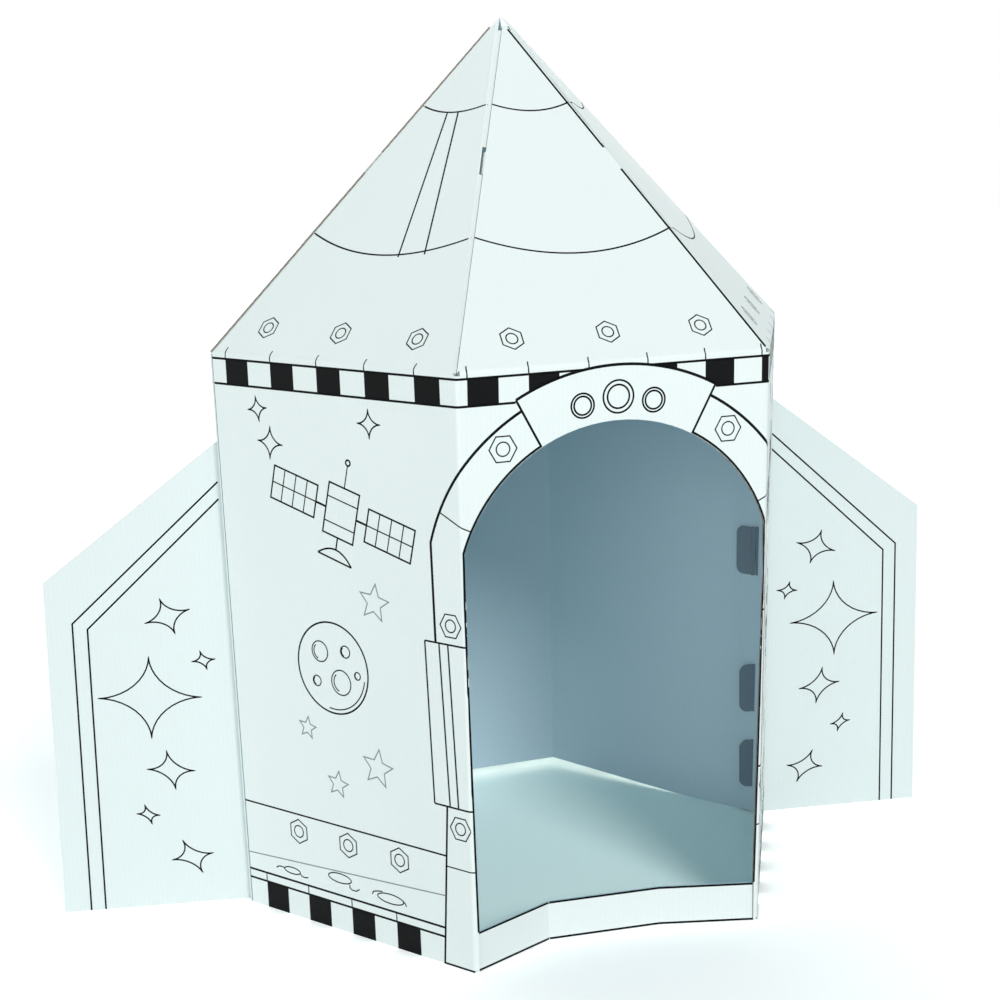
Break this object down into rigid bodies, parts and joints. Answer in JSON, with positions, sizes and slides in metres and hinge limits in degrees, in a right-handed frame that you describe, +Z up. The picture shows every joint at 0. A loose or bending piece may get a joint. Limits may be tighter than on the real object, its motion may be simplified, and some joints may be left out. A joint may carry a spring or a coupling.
{
  "type": "cardboard rocket playhouse",
  "caption": "Free-standing rocket playhouse folded from white corrugated board, with a hexagonal body, pointed roof, arched doorway and side fins.",
  "frame": {"origin": "middle of the bounding box on the floor, which is the axis of the hexagonal house", "axes": "+Z up, -Y out through the doorway, +X to the right as seen from in front of the doorway"},
  "size_m": [1.3246, 0.7448, 1.218],
  "materials": {
    "shell_board": "matte",
    "fin_board": "matte"
  },
  "bodies": {
    "root": {"front_shell": "shell_board", "back_shell": "shell_board", "left_fin": "fin_board", "right_fin": "fin_board"}
  },
  "joints": []
}
